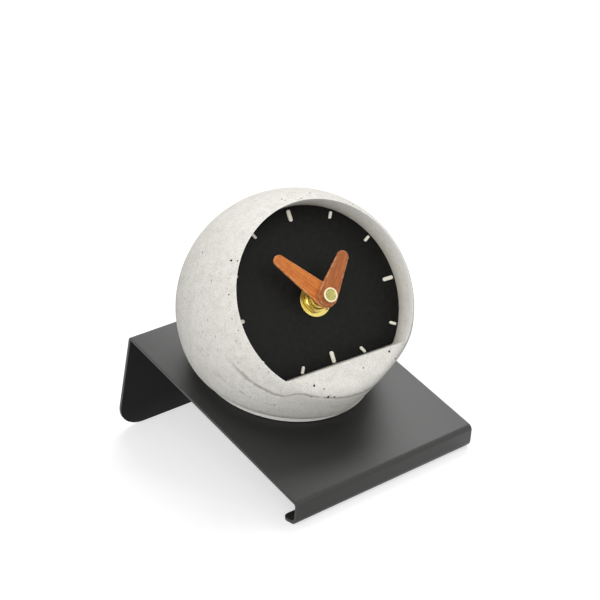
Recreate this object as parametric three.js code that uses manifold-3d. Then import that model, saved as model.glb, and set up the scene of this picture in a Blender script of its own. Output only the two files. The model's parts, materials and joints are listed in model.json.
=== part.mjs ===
// Sphere table clock on a bent sheet-metal stand.
// Millimetres, +Z up. The front looks towards -Y and +X is on the right seen from the front.
// The origin is on the table, in line with the clock's upright axis, halfway along the stand.
import * as THREE from 'three'
import { mergeVertices } from 'three/addons/utils/BufferGeometryUtils.js'
import Module from 'manifold-3d'

// Stand: one strip of sheet steel, folded three times
const standWidth = 94.3
const sheet = 1.5
const plateDepth = 119.5
const plateSlope = 20.2
const flangeHeight = 10.5
const flangeLean = 12.7
const lipLength = 9
const legLean = 23.3
const frontBend = 0.9
const rearBend = 0.4
const legCorner = 14
const lipCorner = 3

// Place of the clock on the stand
const clockSide = 1.4
const clockSetback = 71
const clockTurn = -8.4

// Concrete ball
const ballRadius = 50
const ballHeight = 31.6
const faceTilt = 44.4
const facePlane = 30.6
const lipRound = 6
const baseRound = 10
const pocketRadius = 40
const pocketFlat = 27.5
const flatTurn = 1.1
const pocketCorner = 1.2
const openingRadius = 25
const openingDepth = 20
const wellClearance = 0.5
const wellRoom = 1

// Base cover
const coverRadius = 37.7
const coverThickness = 2.5
const coverRound = 0.6
const spigotHeight = 5
const spigotWall = 2

// Dial and hour marks
const dialDepth = 12.3
const dialThickness = 3
const dialRoll = -3.1
const markHeight = 0.7
const markInset = 1.1
const longMark = { length: 5, width: 1.65 }
const shortMark = { length: 3.2, width: 1.2 }
const flatInset = 0.3

// Hands
const shortHand = { length: 19.9, hub: 4.4, tip: 2.6, angle: 40.5 }
const longHand = { length: 27.2, hub: 4.3, tip: 2.4, angle: -39.1 }
const handThickness = 1.3
const handRound = 0.25
const lowerHandLift = 9.4
const handSpacing = 0.6

// Brass hardware on the dial
const bushRadius = 3.95
const bushWall = 1.3
const bushRise = 5.3
const flangeRadius = 5.6
const flangeThick = 0.9
const washerRadius = 7
const washerThick = 0.6
const nutFlats = 10.4
const nutThick = 2.5
const capRadius = 3.2
const capThick = 1.5
const capDishRadius = 2.2
const capDishDepth = 0.5
const capDishTaper = 0.2
const turnedChamfer = 0.4
const nutChamferDrop = 0.9
const nutChamferInset = 0.3
const rubberRadius = 9
const rubberThick = 1

// Quartz movement case
const caseCorner = 4
const caseFrontWall = 1.5
const caseWall = 1
const dividerWall = 0.8
const lidThick = 1.1
const gearPlateThick = 1
const bushBoss = 1.3
const bossRadius = 1.1
const knobMargin = 3.2
const batteryRadius = 7.25
const batteryLength = 50.5
const poleRadius = 2.7
const poleHeight = 1.2
const contactDepth = 1.15
const contactSheet = 0.3
const contactSize = 8.7

// Going train and motion work: teeth, and one module for each run of arbors
const motionModule = 0.48
const goingModule = 0.376
const motorModule = 0.45
const cannonTeeth = 10
const motionTeeth = 30
const motionPinionTeeth = 8
const hourTeeth = 32
const settingTeeth = 10
const centreTeeth = 45
const thirdPinionTeeth = 6
const thirdTeeth = 48
const secondsPinionTeeth = 6
const secondsTeeth = 36
const stepPinionTeeth = 6
const stepTeeth = 30
const rotorPinionTeeth = 6
const wheelThick = 0.7
const layerStep = 1.5
const pinionExtra = 0.3

// Where the arbors stand around the dial's centre, in degrees anticlockwise from three o'clock
const motionBearing = 60
const thirdBearing = 150
const stepBearing = -5
const rotorBearing = 20
const settingBearing = 80

// Arbors
const secondsArbor = 0.45
const minuteArbor = 1.5
const clutchSeat = 1.6
const clutchCollar = 2.1
const thirdArbor = 0.6
const pivot = 0.4
const pivotLength = 1.2
const pivotRoom = 0.5
const knobRadius = 5
const knobThick = 2.4
const knobGrips = 18
const knobGroove = 0.6
const knobShaft = 1.4

// Motor and electronics
const magnetRadius = 2.4
const magnetLength = 3
const airGap = 0.5
const statorThick = 1
const statorWidth = 13
const statorLength = 20
const statorCorner = 1
const coilRadius = 3
const coreWidth = 2.4
const boardThick = 0.8
const boardWidth = 15
const boardHeight = 9
const boardMargin = 0.9
const crystalRadius = 1
const crystalLength = 6
const crystalPlace = { right: 4.5, down: 2.3 }
const chipSize = 3.6
const chipThick = 1
const chipPlace = { right: 11.2, down: 5.4 }

// Clearances
const seatGap = 0.3
const fitGap = 0.15
const runningGap = 0.1

// How far a cutting tool runs past the face that it opens, and a boss into the wall that bears it
const overcut = 1
const rooting = 0.5

// Facets: sides of a full circle, and steps of a short arc
const fine = 64
const coverFacets = 48
const medium = 28
const coarse = 12
const smallArc = 5

const radians = THREE.MathUtils.degToRad
const slope = radians(plateSlope)

// Solids
const wasm = await Module()
wasm.setup()

function solidOf(geometry) {
  const bare = new THREE.BufferGeometry()
  bare.setAttribute('position', geometry.getAttribute('position'))
  if (geometry.index) bare.setIndex(geometry.index)
  const merged = mergeVertices(bare, 1e-4)
  const index = merged.index.array
  const triangles = []
  for (let i = 0; i < index.length; i += 3) {
    const [a, b, c] = [index[i], index[i + 1], index[i + 2]]
    if (a !== b && b !== c && c !== a) triangles.push(a, b, c)
  }
  const vertProperties = new Float32Array(merged.getAttribute('position').array)
  const triVerts = new Uint32Array(triangles)
  return new wasm.Manifold(new wasm.Mesh({ numProp: 3, vertProperties, triVerts }))
}

const join = (...pieces) => pieces.reduce((whole, piece) => whole.add(piece))
const cut = (whole, ...tools) => tools.reduce((rest, tool) => rest.subtract(tool), whole)

function geometryOf(solid) {
  const { vertProperties, triVerts } = solid.getMesh()
  const geometry = new THREE.BufferGeometry()
  geometry.setAttribute('position', new THREE.BufferAttribute(vertProperties, 3))
  geometry.setIndex(new THREE.BufferAttribute(triVerts, 1))
  geometry.computeVertexNormals()
  return geometry
}

function node(name, solid, material, parent) {
  const mesh = new THREE.Mesh(geometryOf(solid), material)
  mesh.name = name
  parent.add(mesh)
  return mesh
}

// Basic forms, all with their axis along Z
function rod(radius, low, high, x = 0, y = 0, sides = medium) {
  const geometry = new THREE.CylinderGeometry(radius, radius, high - low, sides)
  geometry.rotateX(Math.PI / 2)
  return solidOf(geometry.translate(x, y, (low + high) / 2))
}

function block(x0, x1, y0, y1, z0, z1) {
  const geometry = new THREE.BoxGeometry(x1 - x0, y1 - y0, z1 - z0)
  return solidOf(geometry.translate((x0 + x1) / 2, (y0 + y1) / 2, (z0 + z1) / 2))
}

function revolved(profile, sides) {
  const points = profile.map(([r, z]) => new THREE.Vector2(r, z))
  points.push(points[0].clone())
  return solidOf(new THREE.LatheGeometry(points, sides).rotateX(Math.PI / 2))
}

function extruded(shape, low, high, matrix, bevel = 0) {
  const geometry = new THREE.ExtrudeGeometry(shape, {
    depth: high - low - 2 * bevel,
    curveSegments: smallArc,
    bevelEnabled: bevel > 0,
    bevelThickness: bevel,
    bevelSize: bevel,
    bevelOffset: -bevel,
    bevelSegments: 1
  })
  geometry.translate(0, 0, low + bevel)
  if (matrix) geometry.applyMatrix4(matrix)
  return solidOf(geometry)
}

// Points along a circular arc, both ends included
function arcPoints(cx, cy, radius, from, to, steps) {
  return Array.from({ length: steps + 1 }, (_, i) => {
    const a = from + (to - from) * i / steps
    return [cx + radius * Math.cos(a), cy + radius * Math.sin(a)]
  })
}

const shapeOf = points => new THREE.Shape(points.map(([x, y]) => new THREE.Vector2(x, y)))

function roundedRectangle(x0, x1, y0, y1, radius) {
  return shapeOf([
    ...arcPoints(x1 - radius, y0 + radius, radius, -Math.PI / 2, 0, smallArc),
    ...arcPoints(x1 - radius, y1 - radius, radius, 0, Math.PI / 2, smallArc),
    ...arcPoints(x0 + radius, y1 - radius, radius, Math.PI / 2, Math.PI, smallArc),
    ...arcPoints(x0 + radius, y0 + radius, radius, Math.PI, 1.5 * Math.PI, smallArc)
  ])
}

// Finishes
const finish = (color, roughness, metalness = 0) =>
  new THREE.MeshStandardMaterial({ color, roughness, metalness })
const concrete = finish(0xdcdad5, 0.85)
const powderCoat = finish(0x4b4c49, 0.6, 0.1)
const coverPlastic = finish(0xd9d7d2, 0.7)
const dialBlack = finish(0x262524, 0.45)
const markCream = finish(0xeae6d8, 0.5)
const handWood = finish(0xa4481f, 0.5)
const brass = finish(0xd9b24c, 0.25, 1)
const steel = finish(0xb8babd, 0.35, 1)
const rubber = finish(0x1c1c1c, 0.8)
const caseBlack = finish(0x202123, 0.55)
const acetal = finish(0xf0efe9, 0.45)
const ferrite = finish(0x3d3f42, 0.4, 0.6)
const copper = finish(0xb5622f, 0.35, 0.9)
const boardGreen = finish(0x2f6a45, 0.6)
const batteryBlue = finish(0x3c6f8f, 0.4, 0.3)

// Stand, drawn as its outer line in the side plane: y to the rear, z up
const turned = (length, angle) => new THREE.Vector2(length * Math.cos(angle), length * Math.sin(angle))
const lipEnd = new THREE.Vector2(lipLength, 0)
const flangeFoot = new THREE.Vector2(0, 0)
const plateFront = flangeFoot.clone().add(turned(flangeHeight, Math.PI / 2 + radians(flangeLean)))
const plateRear = plateFront.clone().add(turned(plateDepth, slope))
const legHeading = radians(legLean) - Math.PI / 2
const footRise = sheet * Math.sin(radians(legLean))
const legLength = (plateRear.y - footRise) / Math.cos(radians(legLean))
const legFoot = plateRear.clone().add(turned(legLength, legHeading))

// A folded strip: the outer line turns right at every fold, and the sheet lies on its right
function foldedStrip(corners, innerRadii, thickness) {
  const headings = corners.slice(1).map((c, i) => c.clone().sub(corners[i]).normalize())
  const rightOf = d => new THREE.Vector2(d.y, -d.x)
  const shape = new THREE.Shape()
  const folds = innerRadii.map((radius, i) => {
    const [before, after] = [headings[i], headings[i + 1]]
    const bend = before.angleTo(after)
    const reach = (radius + thickness) * Math.tan(bend / 2)
    const start = corners[i + 1].clone().addScaledVector(before, -reach)
    const centre = start.clone().addScaledVector(rightOf(before), radius + thickness)
    const from = rightOf(before).negate().angle()
    return { centre, radius, from, to: from - bend }
  })
  const last = corners.length - 1
  const innerStart = corners[0].clone().addScaledVector(rightOf(headings[0]), thickness)
  shape.moveTo(innerStart.x, innerStart.y)
  shape.lineTo(corners[0].x, corners[0].y)
  for (const f of folds) {
    shape.absarc(f.centre.x, f.centre.y, f.radius + thickness, f.from, f.to, true)
  }
  shape.lineTo(corners[last].x, corners[last].y)
  const innerEnd = corners[last].clone().addScaledVector(rightOf(headings[last - 1]), thickness)
  shape.lineTo(innerEnd.x, innerEnd.y)
  for (const f of [...folds].reverse()) {
    shape.absarc(f.centre.x, f.centre.y, f.radius, f.to, f.from, false)
  }
  return shape
}

// Cuts a sheet's corner round: along and inwards are the sheet's two edges at that corner
function cornerCutter(radius, corner, along, inwards) {
  const outline = shapeOf([
    [-overcut, -overcut],
    [radius, -overcut],
    ...arcPoints(radius, radius, radius, 1.5 * Math.PI, Math.PI, 2 * smallArc),
    [-overcut, radius]
  ])
  const across = new THREE.Vector3().crossVectors(along, inwards)
  const matrix = new THREE.Matrix4().makeBasis(along, inwards, across).setPosition(corner)
  return extruded(outline, -2 * sheet, 2 * sheet, matrix)
}

const standOutline = foldedStrip(
  [lipEnd, flangeFoot, plateFront, plateRear, legFoot],
  [frontBend, frontBend, rearBend],
  sheet
)
const standReach = new THREE.Box2().setFromPoints(standOutline.getPoints(smallArc))
const standMiddle = (standReach.min.x + standReach.max.x) / 2
const standLeft = -standWidth / 2 - clockSide
const standRight = standWidth / 2 - clockSide

function makeStand() {
  const sideways = new THREE.Matrix4().makeBasis(
    new THREE.Vector3(0, 1, 0),
    new THREE.Vector3(0, 0, 1),
    new THREE.Vector3(1, 0, 0)
  )
  const toRight = new THREE.Vector3(1, 0, 0)
  const toLeft = new THREE.Vector3(-1, 0, 0)
  const upLeg = new THREE.Vector3(0, -Math.cos(legHeading), -Math.sin(legHeading))
  const alongLip = new THREE.Vector3(0, -1, 0)
  const at = (x, corner) => new THREE.Vector3(x, corner.x, corner.y)
  return cut(
    extruded(standOutline, standLeft, standRight, sideways),
    cornerCutter(legCorner, at(standLeft, legFoot), toRight, upLeg),
    cornerCutter(legCorner, at(standRight, legFoot), toLeft, upLeg),
    cornerCutter(lipCorner, at(standLeft, lipEnd), toRight, alongLip),
    cornerCutter(lipCorner, at(standRight, lipEnd), toLeft, alongLip)
  )
}

// Levels along the dial's axis, counted from the ball's centre towards the viewer
const dialFace = facePlane - dialDepth
const pocketFloor = dialFace - dialThickness - seatGap
const rubberTop = pocketFloor
const caseFront = rubberTop - rubberThick - seatGap
const chamberFront = caseFront - caseFrontWall
const bushSeat = chamberFront - bushBoss
const bushBack = bushSeat - seatGap - flangeThick

// Levels of the gears, each layer one step behind the last, and of the plates that close the case
const layer = number => bushBack - 2 * seatGap - wheelThick - number * layerStep
const hourLevel = layer(0)
const motionLevel = layer(1)
const centreLevel = layer(2)
const thirdLevel = layer(3)
const secondsLevel = layer(4)
const stepLevel = layer(5)
const gearPlateTop = stepLevel - seatGap
const gearPlateLow = gearPlateTop - gearPlateThick
const caseBack = gearPlateLow - seatGap - lidThick
const knobFront = caseBack - seatGap
const batteryZ = chamberFront - seatGap - batteryRadius
const wellBack = Math.min(knobFront - knobThick, batteryZ - batteryRadius) - wellRoom

// Levels in front of the dial
const washerLow = dialFace + seatGap
const washerTop = washerLow + washerThick
const nutLow = washerTop + seatGap
const bushTop = dialFace + bushRise
const longHandLow = dialFace + lowerHandLift
const shortHandLow = longHandLow + handThickness + handSpacing
const capLow = shortHandLow + handThickness + fitGap
const capTop = capLow + capThick
const pipeTop = longHandLow + handThickness
const minuteTop = capTop - capDishDepth - fitGap

// Radii of the nested arbors
const minuteBore = secondsArbor + runningGap
const pipeBore = minuteArbor + runningGap
const bushBore = bushRadius - bushWall
const pipeRadius = bushBore - runningGap

// Turns a piece of the dial's frame into the frame of the ball
const intoFace = new THREE.Matrix4()
  .makeRotationX(Math.PI / 2 - radians(faceTilt))
  .multiply(new THREE.Matrix4().makeRotationZ(-radians(dialRoll)))

// A circle with one flat below its centre and rounded corners where the flat meets it. The flat
// is turned a little against the hour marks
function dOutline(radius, flat, corner, steps) {
  const level = corner - flat
  const reach = Math.sqrt((radius - corner) ** 2 - level ** 2)
  const meet = Math.atan2(level, reach)
  const points = [
    ...arcPoints(reach, level, corner, -Math.PI / 2, meet, 3),
    ...arcPoints(0, 0, radius, meet, Math.PI - meet, steps).slice(1, -1),
    ...arcPoints(-reach, level, corner, Math.PI - meet, 1.5 * Math.PI, 3)
  ]
  const origin = new THREE.Vector2(0, 0)
  return new THREE.Shape(
    points.map(([x, y]) => new THREE.Vector2(x, y).rotateAround(origin, radians(flatTurn)))
  )
}

// The ball, turned about the dial's axis, with its lip rounded into the flat front
function ballSolid() {
  const lipLevel = facePlane - lipRound
  const lipReach = Math.sqrt((ballRadius - lipRound) ** 2 - lipLevel ** 2)
  const lipAngle = Math.atan2(lipLevel, lipReach)
  const profile = [
    ...arcPoints(0, 0, ballRadius, -Math.PI / 2, lipAngle, fine / 4),
    ...arcPoints(lipReach, lipLevel, lipRound, lipAngle, Math.PI / 2, smallArc).slice(1),
    [0, facePlane]
  ]
  profile[0][0] = 0
  const ball = new THREE.LatheGeometry(profile.map(([r, z]) => new THREE.Vector2(r, z)), fine)
  return solidOf(ball.rotateX(Math.PI / 2).applyMatrix4(intoFace))
}

const baseLevel = 2 * seatGap + coverThickness - ballHeight

// What is cut away below the ball, with the rounding of its bottom edge
function baseCutter() {
  const roundLevel = baseLevel + baseRound
  const roundReach = Math.sqrt((ballRadius - baseRound) ** 2 - roundLevel ** 2)
  const meet = Math.atan2(roundLevel, roundReach)
  return revolved([
    [0, -ballRadius - overcut],
    [ballRadius + overcut, -ballRadius - overcut],
    [ballRadius + overcut, ballRadius * Math.sin(meet)],
    ...arcPoints(roundReach, roundLevel, baseRound, meet, -Math.PI / 2, smallArc).slice(1, -1),
    [roundReach, baseLevel],
    [0, baseLevel]
  ], fine)
}

function makeBall() {
  const pocket = extruded(
    dOutline(pocketRadius, pocketFlat, pocketCorner, fine),
    pocketFloor, facePlane + overcut, intoFace
  )
  const well = extruded(caseOutline(wellClearance), wellBack, pocketFloor + seatGap / 2, intoFace)
  const opening = rod(openingRadius, baseLevel - overcut, baseLevel + openingDepth)
  return cut(ballSolid(), baseCutter(), pocket, well, opening)
}

function makeBaseCover() {
  const low = seatGap - ballHeight
  const top = low + coverThickness
  const outside = openingRadius - seatGap
  const inside = outside - spigotWall
  return revolved([
    [0, low],
    [coverRadius - coverRound, low],
    [coverRadius, low + coverRound],
    [coverRadius, top - coverRound],
    [coverRadius - coverRound, top],
    [outside, top],
    [outside, top + spigotHeight],
    [inside, top + spigotHeight],
    [inside, top],
    [0, top]
  ], coverFacets)
}

function makeDial() {
  const outline = dOutline(pocketRadius - seatGap, pocketFlat - seatGap, pocketCorner, fine)
  return cut(
    extruded(outline, dialFace - dialThickness, dialFace),
    rod(bushRadius + fitGap, dialFace - dialThickness - overcut, dialFace + overcut)
  )
}

// A round-ended hour mark, pointing at the dial's centre
function makeMark(hour) {
  const size = hour % 3 === 0 ? longMark : shortMark
  const angle = Math.PI / 2 - hour * Math.PI / 6
  const rim = pocketRadius - seatGap - markInset
  const down = -Math.sin(angle - radians(flatTurn))
  const edge = pocketFlat - seatGap - flatInset
  const outer = down > 0 ? Math.min(rim, edge / down) : rim
  const end = size.width / 2
  const outline = shapeOf([
    ...arcPoints(outer - end, 0, end, -Math.PI / 2, Math.PI / 2, smallArc),
    ...arcPoints(outer - size.length + end, 0, end, Math.PI / 2, 1.5 * Math.PI, smallArc)
  ])
  const low = dialFace + seatGap
  return extruded(outline, low, low + markHeight, new THREE.Matrix4().makeRotationZ(angle))
}

// A hand as two circles joined by their tangents, pointing along its clock angle
function makeHand({ length, hub, tip, angle }, low, bore) {
  const reach = length - tip
  const lean = Math.asin((hub - tip) / reach)
  const outline = shapeOf([
    ...arcPoints(reach, 0, tip, lean - Math.PI / 2, Math.PI / 2 - lean, 2 * smallArc),
    ...arcPoints(0, 0, hub, Math.PI / 2 - lean, 1.5 * Math.PI + lean, 3 * smallArc)
  ])
  const bearing = Math.PI / 2 - radians(angle)
  const matrix = new THREE.Matrix4().makeRotationZ(bearing)
  const blank = extruded(outline, low, low + handThickness, matrix, handRound)
  return cut(blank, rod(bore, low - overcut, low + handThickness + overcut))
}

// Brass hardware
function makeBush() {
  return revolved([
    [bushBore, bushBack],
    [flangeRadius, bushBack],
    [flangeRadius, bushBack + flangeThick],
    [bushRadius, bushBack + flangeThick],
    [bushRadius, bushTop - turnedChamfer],
    [bushRadius - turnedChamfer, bushTop],
    [bushBore, bushTop]
  ], medium)
}

function ring(inner, outer, low, high, sides = medium) {
  return revolved([[inner, low], [outer, low], [outer, high], [inner, high]], sides)
}

// A hexagon nut, its upper corners turned off by a cone
function makeNut() {
  const corner = nutFlats / 2 / Math.cos(Math.PI / 6)
  const hexagon = shapeOf(arcPoints(0, 0, corner, 0, 2 * Math.PI, 6).slice(0, -1))
  const top = nutLow + nutThick
  const blank = extruded(hexagon, nutLow, top)
  const dome = revolved([
    [0, nutLow - overcut],
    [corner + overcut, nutLow - overcut],
    [corner + overcut, top - nutChamferDrop],
    [nutFlats / 2 - nutChamferInset, top],
    [0, top]
  ], medium)
  return cut(blank.intersect(dome), rod(bushRadius + fitGap, nutLow - overcut, top + overcut))
}

function makeCap() {
  const bore = minuteArbor + fitGap
  return revolved([
    [bore, capLow],
    [capRadius, capLow],
    [capRadius, capTop - turnedChamfer],
    [capRadius - turnedChamfer, capTop],
    [capDishRadius, capTop],
    [capDishRadius - capDishTaper, capTop - capDishDepth],
    [bore, capTop - capDishDepth]
  ], medium)
}

// Gears: pointed teeth on the wheels, blunt ones on the pinions, with play between flanks
const addendum = 0.85
const dedendum = 1.15
const wheelFlank = [[-1, -0.33], [1, 0], [-1, 0.33]]
const pinionFlank = [[-1, -0.27], [1, -0.13], [1, 0.13], [-1, 0.27]]

function toothed(teeth, module, phase, low, thickness, flank) {
  const pitch = 2 * Math.PI / teeth
  const points = []
  for (let i = 0; i < teeth; i++) {
    for (const [side, share] of flank) {
      const radius = module * (teeth / 2 + (side > 0 ? addendum : -dedendum))
      const angle = phase + (i + share) * pitch
      points.push([radius * Math.cos(angle), radius * Math.sin(angle)])
    }
  }
  return extruded(shapeOf(points), low, low + thickness)
}

const wheel = (teeth, module, phase, low) =>
  toothed(teeth, module, phase, low, wheelThick, wheelFlank)
const pinion = (teeth, module, phase, low, thickness = pinionThick) =>
  toothed(teeth, module, phase, low, thickness, pinionFlank)

// The phase that puts a gear in mesh with another whose phase is known, across a bearing
function meshPhase(phase, teeth, otherTeeth, bearing) {
  return bearing + Math.PI - ((phase - bearing) * teeth + Math.PI) / otherTeeth
}

const pitchRadius = (teeth, module) => module * teeth / 2
const tipRadius = (teeth, module) => module * (teeth / 2 + addendum)
const place = (from, distance, bearing) => new THREE.Vector2(
  from.x + distance * Math.cos(radians(bearing)),
  from.y + distance * Math.sin(radians(bearing))
)

// Arbor centres. Two gears on one arbor share a centre distance, so their modules follow from it
const centre = new THREE.Vector2(0, 0)
const motionReach = pitchRadius(cannonTeeth + motionTeeth, motionModule)
const hourModule = 2 * motionReach / (hourTeeth + motionPinionTeeth)
const thirdReach = pitchRadius(centreTeeth + thirdPinionTeeth, goingModule)
const secondsPinionModule = 2 * thirdReach / (thirdTeeth + secondsPinionTeeth)
const stepReach = pitchRadius(secondsTeeth + stepPinionTeeth, motorModule)
const rotorReach = pitchRadius(stepTeeth + rotorPinionTeeth, motorModule)
const settingReach = pitchRadius(motionTeeth + settingTeeth, motionModule)
const motionAt = place(centre, motionReach, motionBearing)
const thirdAt = place(centre, thirdReach, thirdBearing)
const stepAt = place(centre, stepReach, stepBearing)
const rotorAt = place(stepAt, rotorReach, rotorBearing)
const settingAt = place(motionAt, settingReach, settingBearing)

// Phases, so that every pair is in mesh at rest
const motionPhase = meshPhase(0, cannonTeeth, motionTeeth, radians(motionBearing))
const hourPhase = meshPhase(0, motionPinionTeeth, hourTeeth, radians(motionBearing) + Math.PI)
const settingPhase = meshPhase(motionPhase, motionTeeth, settingTeeth, radians(settingBearing))
const thirdPinionPhase = meshPhase(0, centreTeeth, thirdPinionTeeth, radians(thirdBearing))
const thirdPhase = meshPhase(0, secondsPinionTeeth, thirdTeeth, radians(thirdBearing))
const stepPinionPhase = meshPhase(0, secondsTeeth, stepPinionTeeth, radians(stepBearing))
const stepPhase = meshPhase(0, rotorPinionTeeth, stepTeeth, radians(rotorBearing) + Math.PI)

const pinionThick = wheelThick + 2 * pinionExtra
const pinionLow = level => level - pinionExtra
const lowPivot = gearPlateLow + fitGap
const bossFoot = centreLevel + wheelThick + 2 * seatGap
const pivotTop = bossFoot + pivotLength

// Wheels on arbors of their own, each between a hole in the plate and a hole in a boss
function makeThirdWheel() {
  return join(
    wheel(thirdTeeth, secondsPinionModule, thirdPhase, thirdLevel),
    pinion(thirdPinionTeeth, goingModule, thirdPinionPhase, pinionLow(centreLevel)),
    rod(thirdArbor, stepLevel, bossFoot - seatGap, 0, 0, coarse),
    rod(pivot, lowPivot, pivotTop, 0, 0, coarse)
  )
}

function makeStepWheel() {
  return join(
    wheel(stepTeeth, motorModule, stepPhase, stepLevel),
    pinion(stepPinionTeeth, motorModule, stepPinionPhase, pinionLow(secondsLevel)),
    rod(pivot, lowPivot, pivotTop, 0, 0, coarse)
  )
}

function makeMotionWheel() {
  const pinionTop = pinionLow(hourLevel) + pinionThick
  const core = pitchRadius(motionPinionTeeth, hourModule) - hourModule
  return join(
    wheel(motionTeeth, motionModule, motionPhase, motionLevel),
    pinion(motionPinionTeeth, hourModule, 0, pinionLow(hourLevel)),
    rod(core, motionLevel, pinionTop, 0, 0, coarse),
    rod(pivot, lowPivot, pinionTop + seatGap + pivotLength, 0, 0, coarse)
  )
}

// The seconds arbor runs through the hollow minute arbor to the cap nut
function makeSecondsWheel() {
  return join(
    wheel(secondsTeeth, motorModule, 0, secondsLevel),
    pinion(secondsPinionTeeth, secondsPinionModule, 0, pinionLow(thirdLevel)),
    rod(secondsArbor, lowPivot, minuteTop, 0, 0, coarse)
  )
}

function makeCentreWheel() {
  return cut(
    wheel(centreTeeth, goingModule, 0, centreLevel),
    rod(clutchSeat + runningGap, centreLevel - overcut, centreLevel + wheelThick + overcut)
  )
}

// The centre wheel slips between the arbor's collar and its pinion when the hands are set
function makeMinuteArbor() {
  const pinionFoot = centreLevel + wheelThick + runningGap
  const pinionTop = motionLevel + wheelThick
  const collarLow = pinionLow(thirdLevel) + pinionThick + fitGap
  const collarTop = centreLevel - runningGap
  const body = join(
    rod(clutchCollar, collarLow, collarTop),
    rod(clutchSeat, collarLow, pinionTop),
    pinion(cannonTeeth, motionModule, 0, pinionFoot, pinionTop - pinionFoot),
    rod(minuteArbor, collarLow, minuteTop)
  )
  return cut(body, rod(minuteBore, collarLow - overcut, minuteTop + overcut, 0, 0, coarse))
}

function makeHourWheel() {
  const body = join(
    wheel(hourTeeth, hourModule, hourPhase, hourLevel),
    rod(pipeRadius, hourLevel, pipeTop)
  )
  return cut(body, rod(pipeBore, hourLevel - overcut, pipeTop + overcut))
}

const magnetLow = stepLevel + 2 * wheelThick + seatGap
const magnetTop = magnetLow + magnetLength
const statorLow = magnetLow + (magnetLength - statorThick) / 2

function makeRotor() {
  return join(
    pinion(rotorPinionTeeth, motorModule, 0, pinionLow(stepLevel) + seatGap),
    rod(magnetRadius, magnetLow, magnetTop, 0, 0, coarse),
    rod(pivot, lowPivot, pivotTop, 0, 0, coarse)
  )
}

// The setting knob stands out of the back of the case, on a shaft that drives the motion wheel
function makeSettingKnob() {
  const shaftTop = motionLevel + wheelThick + seatGap
  const grip = Array.from({ length: 2 * knobGrips }, (_, i) => {
    const angle = Math.PI * i / knobGrips
    const radius = knobRadius - (i % 2) * knobGroove
    return [radius * Math.cos(angle), radius * Math.sin(angle)]
  })
  return join(
    extruded(shapeOf(grip), knobFront - knobThick, knobFront),
    rod(knobShaft, knobFront - rooting, shaftTop, 0, 0, coarse),
    pinion(settingTeeth, motionModule, settingPhase, pinionLow(motionLevel)),
    rod(pivot, shaftTop - rooting, shaftTop + seatGap + pivotLength, 0, 0, coarse)
  )
}

// Stepping motor: a soft-iron loop round the rotor, with the coil on its upper bar
const statorX0 = rotorAt.x - statorWidth / 2
const statorX1 = rotorAt.x + statorWidth / 2
const statorY0 = rotorAt.y - magnetRadius - airGap - coreWidth
const statorY1 = statorY0 + statorLength
const coilY = statorY1 - coreWidth / 2
const coilZ = statorLow + statorThick / 2

function makeStator() {
  const top = statorLow + statorThick
  const [low, high] = [statorLow - overcut, top + overcut]
  const loopLow = rotorAt.y + magnetRadius + airGap + coreWidth
  const loopTop = statorY1 - coreWidth
  return cut(
    extruded(roundedRectangle(statorX0, statorX1, statorY0, statorY1, statorCorner), statorLow, top),
    block(statorX0 + coreWidth, statorX1 - coreWidth, loopLow, loopTop, low, high),
    rod(magnetRadius + airGap, low, high, rotorAt.x, rotorAt.y)
  )
}

function makeCoil() {
  const coilLength = statorWidth - 2 * coreWidth - 2 * seatGap
  const geometry = new THREE.CylinderGeometry(coilRadius, coilRadius, coilLength, coarse)
  geometry.rotateZ(Math.PI / 2).translate(rotorAt.x, coilY, coilZ)
  const half = coreWidth / 2 + fitGap
  const tall = statorThick / 2 + fitGap
  const [left, right] = [rotorAt.x - statorWidth, rotorAt.x + statorWidth]
  const slot = block(left, right, coilY - half, coilY + half, coilZ - tall, coilZ + tall)
  return cut(solidOf(geometry), slot)
}

// Case of the movement: a deep front shell with a gear chamber and a battery bay, both open behind.
// The chamber's lower wall clears the lowest tooth, and the case's top edge clears the setting knob
const lowestTooth = Math.min(
  -tipRadius(centreTeeth, goingModule),
  -tipRadius(secondsTeeth, motorModule),
  -tipRadius(hourTeeth, hourModule),
  thirdAt.y - tipRadius(thirdTeeth, secondsPinionModule),
  stepAt.y - tipRadius(stepTeeth, motorModule)
)
const batteryEnd = batteryLength / 2
const chamberX = batteryEnd + seatGap + contactDepth + seatGap
const chamberLow = lowestTooth - seatGap
const bayTop = chamberLow - dividerWall
const bayLow = bayTop - 2 * (batteryRadius + seatGap)
const batteryY = (bayLow + bayTop) / 2
const caseTop = settingAt.y + knobRadius + knobMargin
const chamberTop = caseTop - caseWall

function caseOutline(gap = 0) {
  const side = chamberX + caseWall + gap
  return roundedRectangle(-side, side, bayLow - caseWall - gap, caseTop + gap, caseCorner)
}

const pillar = (at, low) => rod(bossRadius, low, chamberFront + rooting, at.x, at.y, coarse)
const pivotHole = (at, low, high, radius = pivot) =>
  rod(radius + runningGap, low, high, at.x, at.y, coarse)

function makeCase() {
  const corner = caseCorner - caseWall
  const shell = extruded(caseOutline(), caseBack, caseFront)
  const hollow = (low, top) => extruded(
    roundedRectangle(-chamberX, chamberX, low, top, corner), caseBack - overcut, chamberFront
  )
  const motionFoot = pinionLow(hourLevel) + pinionThick + seatGap
  const settingFoot = motionLevel + wheelThick + 2 * seatGap
  const bored = [
    [thirdAt, bossFoot], [stepAt, bossFoot], [rotorAt, bossFoot],
    [motionAt, motionFoot], [settingAt, settingFoot]
  ]
  const bossed = join(
    cut(shell, hollow(chamberLow, chamberTop), hollow(bayLow, bayTop)),
    rod(flangeRadius, bushSeat, chamberFront + rooting),
    ...bored.map(([at, low]) => pillar(at, low))
  )
  return cut(
    bossed,
    rod(bushRadius + fitGap, bushSeat - overcut, caseFront + overcut),
    ...bored.map(([at, low]) => pivotHole(at, low - overcut, low + pivotLength + pivotRoom))
  )
}

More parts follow.
